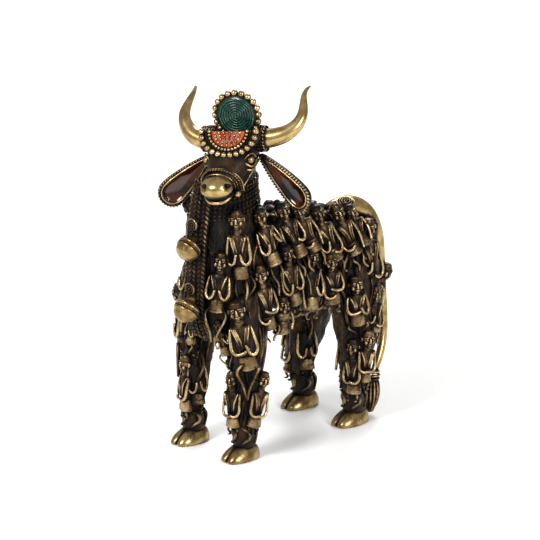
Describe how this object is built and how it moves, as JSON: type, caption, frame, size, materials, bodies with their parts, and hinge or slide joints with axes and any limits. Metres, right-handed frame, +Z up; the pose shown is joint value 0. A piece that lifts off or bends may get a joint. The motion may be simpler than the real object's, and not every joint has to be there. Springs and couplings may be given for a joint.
{
  "type": "nandi figurine",
  "caption": "Standing bull in cast brass, its body and legs built up from small wax-thread people, with an enamelled crest, drooping ears and upswept horns.",
  "frame": {"origin": "on the ground, under the middle of the part's outline", "axes": "+Z up; the bull's body faces -Y and its own left side is +X; the head is turned towards its left"},
  "size_m": [0.1228, 0.2142, 0.294],
  "materials": {
    "cast_brass": "dark patina in the recesses and rubbed bright brass on the high places, with green and coral enamel on the crest and dark lacquer in the ears"
  },
  "bodies": {
    "root": {"nandi": "cast_brass"}
  },
  "joints": []
}
